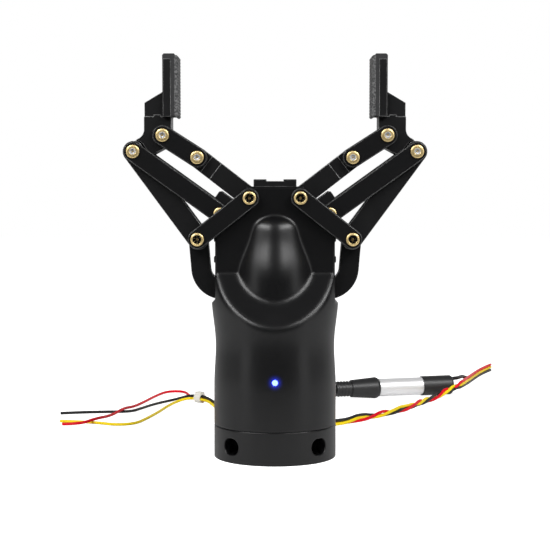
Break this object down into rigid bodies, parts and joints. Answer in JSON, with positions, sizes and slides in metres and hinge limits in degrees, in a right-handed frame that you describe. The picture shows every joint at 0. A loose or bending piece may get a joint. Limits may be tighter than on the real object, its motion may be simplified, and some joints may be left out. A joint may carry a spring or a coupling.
{
  "type": "electric two-finger gripper",
  "caption": "Electric robot gripper: round motor body on a bolt-on flange, linkage fingers with rubber pads driven by a lead screw, leads from the back",
  "frame": {"origin": "centre of the mounting flange's face, which bolts to the robot", "axes": "+Z from the robot towards the fingertips, X along the jaw travel, +Y towards the cable outlet"},
  "size_m": [0.2954, 0.3779, 0.2065],
  "materials": {
    "body_aluminium": "fine-blasted, black anodised",
    "cover_aluminium": "black anodised",
    "plate_steel": "black anodised",
    "screw_brass": "turned",
    "small_screw_steel": "blackened",
    "tip_aluminium": "black anodised",
    "pad_rubber": "dark grey, dimpled grip face",
    "status_lens": "clear, lit blue",
    "motor_steel": "turned",
    "board": "glass-fibre board",
    "outlet_rubber": "matt",
    "cable_black": "matt jacket",
    "connector_plastic": "matt",
    "sleeve_metal": "bright",
    "wire_red": "soft insulation",
    "wire_yellow": "soft insulation",
    "tie_white": "moulded"
  },
  "bodies": {
    "base": {"mounting_flange": "body_aluminium", "flange_screws": "small_screw_steel", "housing": "body_aluminium", "top_cover": "cover_aluminium", "top_cover_screws": "small_screw_steel", "head_side_screws": "small_screw_steel", "status_light": "status_lens", "link_anchors": "body_aluminium", "upper_bearing": "small_screw_steel", "lower_bearing": "small_screw_steel", "gearhead": "motor_steel", "motor": "motor_steel", "drive_board": "board", "cable_grommet": "outlet_rubber", "main_cable": "cable_black", "cable_plug": "connector_plastic", "coupling_sleeve": "sleeve_metal", "cable_socket": "connector_plastic", "tail_lead": "cable_black", "left_lead_red": "wire_red", "left_lead_black": "cable_black", "left_lead_yellow": "wire_yellow", "right_lead": "cable_black", "cable_tie": "tie_white"},
    "drive_screw": {"lead_screw": "small_screw_steel"},
    "crosshead_slide": {"drive_nut": "screw_brass", "crosshead": "plate_steel", "crosshead_pins": "plate_steel"},
    "right_arm": {"right_upper_link": "body_aluminium", "right_knuckle_plates": "plate_steel", "right_knuckle_screws": "screw_brass"},
    "right_follower_link": {"right_lower_link_plates": "plate_steel", "right_lower_link_screws": "screw_brass"},
    "right_crank": {"right_crank_plates": "plate_steel", "right_crank_screws": "screw_brass", "right_crank_spacers": "plate_steel"},
    "right_coupler": {"right_outer_link": "body_aluminium"},
    "right_rod": {"right_push_rod": "plate_steel"},
    "right_finger": {"right_finger_base": "body_aluminium", "right_fingertip": "tip_aluminium", "right_finger_pad": "pad_rubber", "right_fingertip_screw": "small_screw_steel"},
    "left_arm": {"left_upper_link": "body_aluminium", "left_knuckle_plates": "plate_steel", "left_knuckle_screws": "screw_brass"},
    "left_follower_link": {"left_lower_link_plates": "plate_steel", "left_lower_link_screws": "screw_brass"},
    "left_crank": {"left_crank_plates": "plate_steel", "left_crank_screws": "screw_brass", "left_crank_spacers": "plate_steel"},
    "left_coupler": {"left_outer_link": "body_aluminium"},
    "left_rod": {"left_push_rod": "plate_steel"},
    "left_finger": {"left_finger_base": "body_aluminium", "left_fingertip": "tip_aluminium", "left_finger_pad": "pad_rubber", "left_fingertip_screw": "small_screw_steel"}
  },
  "joints": [
    {"name": "crosshead_travel", "type": "slide", "parent": "base", "child": "crosshead_slide", "axis": [0, 0, 1], "range_m": [0, 0.02625]},
    {"name": "screw_spin", "type": "hinge", "parent": "base", "child": "drive_screw", "pos_m": [0, 0, 0.079], "axis": [0, 0, -1], "range_deg": [0, 2363]},
    {"name": "right_arm_pivot", "type": "hinge", "parent": "base", "child": "right_arm", "pos_m": [0.0129, 0, 0.13375], "axis": [0, -1, 0], "range_deg": [0, 59.45]},
    {"name": "right_follower_pivot", "type": "hinge", "parent": "base", "child": "right_follower_link", "pos_m": [0.0279, 0, 0.12555], "axis": [0, -1, 0], "range_deg": [0, 59.45]},
    {"name": "right_crank_pivot", "type": "hinge", "parent": "base", "child": "right_crank", "pos_m": [0.0129, 0, 0.13375], "axis": [0, -1, 0], "range_deg": [0, 30.45]},
    {"name": "right_coupler_pivot", "type": "hinge", "parent": "right_crank", "child": "right_coupler", "pos_m": [0.03929, 0, 0.11279], "axis": [0, -1, 0], "range_deg": [0, 29.95]},
    {"name": "right_rod_pivot", "type": "hinge", "parent": "right_crank", "child": "right_rod", "pos_m": [0.03929, 0, 0.11279], "axis": [0, 1, 0], "range_deg": [0, 50.65]},
    {"name": "right_finger_pivot", "type": "hinge", "parent": "right_arm", "child": "right_finger", "pos_m": [0.057, 0, 0.16544], "axis": [0, 1, 0], "range_deg": [0, 59.45]},
    {"name": "left_arm_pivot", "type": "hinge", "parent": "base", "child": "left_arm", "pos_m": [-0.0129, 0, 0.13375], "axis": [0, 1, 0], "range_deg": [0, 59.45]},
    {"name": "left_follower_pivot", "type": "hinge", "parent": "base", "child": "left_follower_link", "pos_m": [-0.0279, 0, 0.12555], "axis": [0, 1, 0], "range_deg": [0, 59.45]},
    {"name": "left_crank_pivot", "type": "hinge", "parent": "base", "child": "left_crank", "pos_m": [-0.0129, 0, 0.13375], "axis": [0, 1, 0], "range_deg": [0, 30.45]},
    {"name": "left_coupler_pivot", "type": "hinge", "parent": "left_crank", "child": "left_coupler", "pos_m": [-0.03929, 0, 0.11279], "axis": [0, 1, 0], "range_deg": [0, 29.95]},
    {"name": "left_rod_pivot", "type": "hinge", "parent": "left_crank", "child": "left_rod", "pos_m": [-0.03929, 0, 0.11279], "axis": [0, -1, 0], "range_deg": [0, 50.65]},
    {"name": "left_finger_pivot", "type": "hinge", "parent": "left_arm", "child": "left_finger", "pos_m": [-0.057, 0, 0.16544], "axis": [0, -1, 0], "range_deg": [0, 59.45]}
  ],
  "couplings": [
    {"joint": "screw_spin", "follows": "crosshead_travel", "rad_per_m": 1570.8},
    {"joint": "right_arm_pivot", "follows": "crosshead_travel", "rad_per_m": 39.505},
    {"joint": "right_follower_pivot", "follows": "crosshead_travel", "rad_per_m": 39.505},
    {"joint": "right_crank_pivot", "follows": "crosshead_travel", "rad_per_m": 20.223},
    {"joint": "right_coupler_pivot", "follows": "crosshead_travel", "rad_per_m": 19.88},
    {"joint": "right_rod_pivot", "follows": "crosshead_travel", "rad_per_m": 33.654},
    {"joint": "right_finger_pivot", "follows": "crosshead_travel", "rad_per_m": 39.505},
    {"joint": "left_arm_pivot", "follows": "crosshead_travel", "rad_per_m": 39.505},
    {"joint": "left_follower_pivot", "follows": "crosshead_travel", "rad_per_m": 39.505},
    {"joint": "left_crank_pivot", "follows": "crosshead_travel", "rad_per_m": 20.223},
    {"joint": "left_coupler_pivot", "follows": "crosshead_travel", "rad_per_m": 19.88},
    {"joint": "left_rod_pivot", "follows": "crosshead_travel", "rad_per_m": 33.654},
    {"joint": "left_finger_pivot", "follows": "crosshead_travel", "rad_per_m": 39.505}
  ]
}
